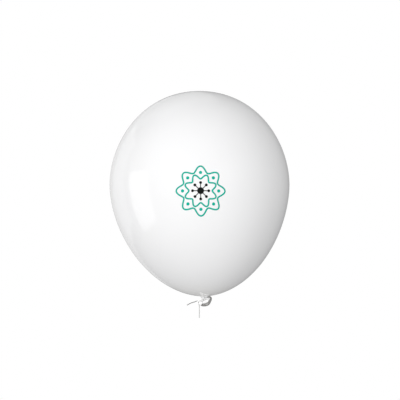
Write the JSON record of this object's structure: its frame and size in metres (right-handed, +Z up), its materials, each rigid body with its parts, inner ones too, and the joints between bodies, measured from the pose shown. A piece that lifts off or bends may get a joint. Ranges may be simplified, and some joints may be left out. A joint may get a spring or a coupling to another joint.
{
  "type": "printed party balloon",
  "caption": "Blown-up latex party balloon, nearly round with a longer lower end, printed on one side, knotted and tied with a short twisted string.",
  "frame": {"origin": "on the balloon's upright axis, at the height where the envelope is widest", "axes": "+Z up, from the knot to the top of the envelope; the printed side faces -Y; +X is to the right as the print is seen"},
  "size_m": [0.28, 0.2805, 0.3528],
  "materials": {
    "white_latex": "satin",
    "gathered_latex": "satin",
    "lip_latex": "satin",
    "twine": "matte",
    "teal_ink": "satin",
    "black_ink": "satin"
  },
  "bodies": {
    "root": {"envelope": "white_latex", "neck": "gathered_latex", "knot": "gathered_latex", "mouth": "gathered_latex", "rolled_lip": "lip_latex", "string_wrap": "twine", "string_knot": "twine", "string_tail_short": "twine", "string_tail_long": "twine", "print_outer_ring": "teal_ink", "print_inner_ring": "teal_ink", "print_burst": "black_ink"}
  },
  "joints": []
}
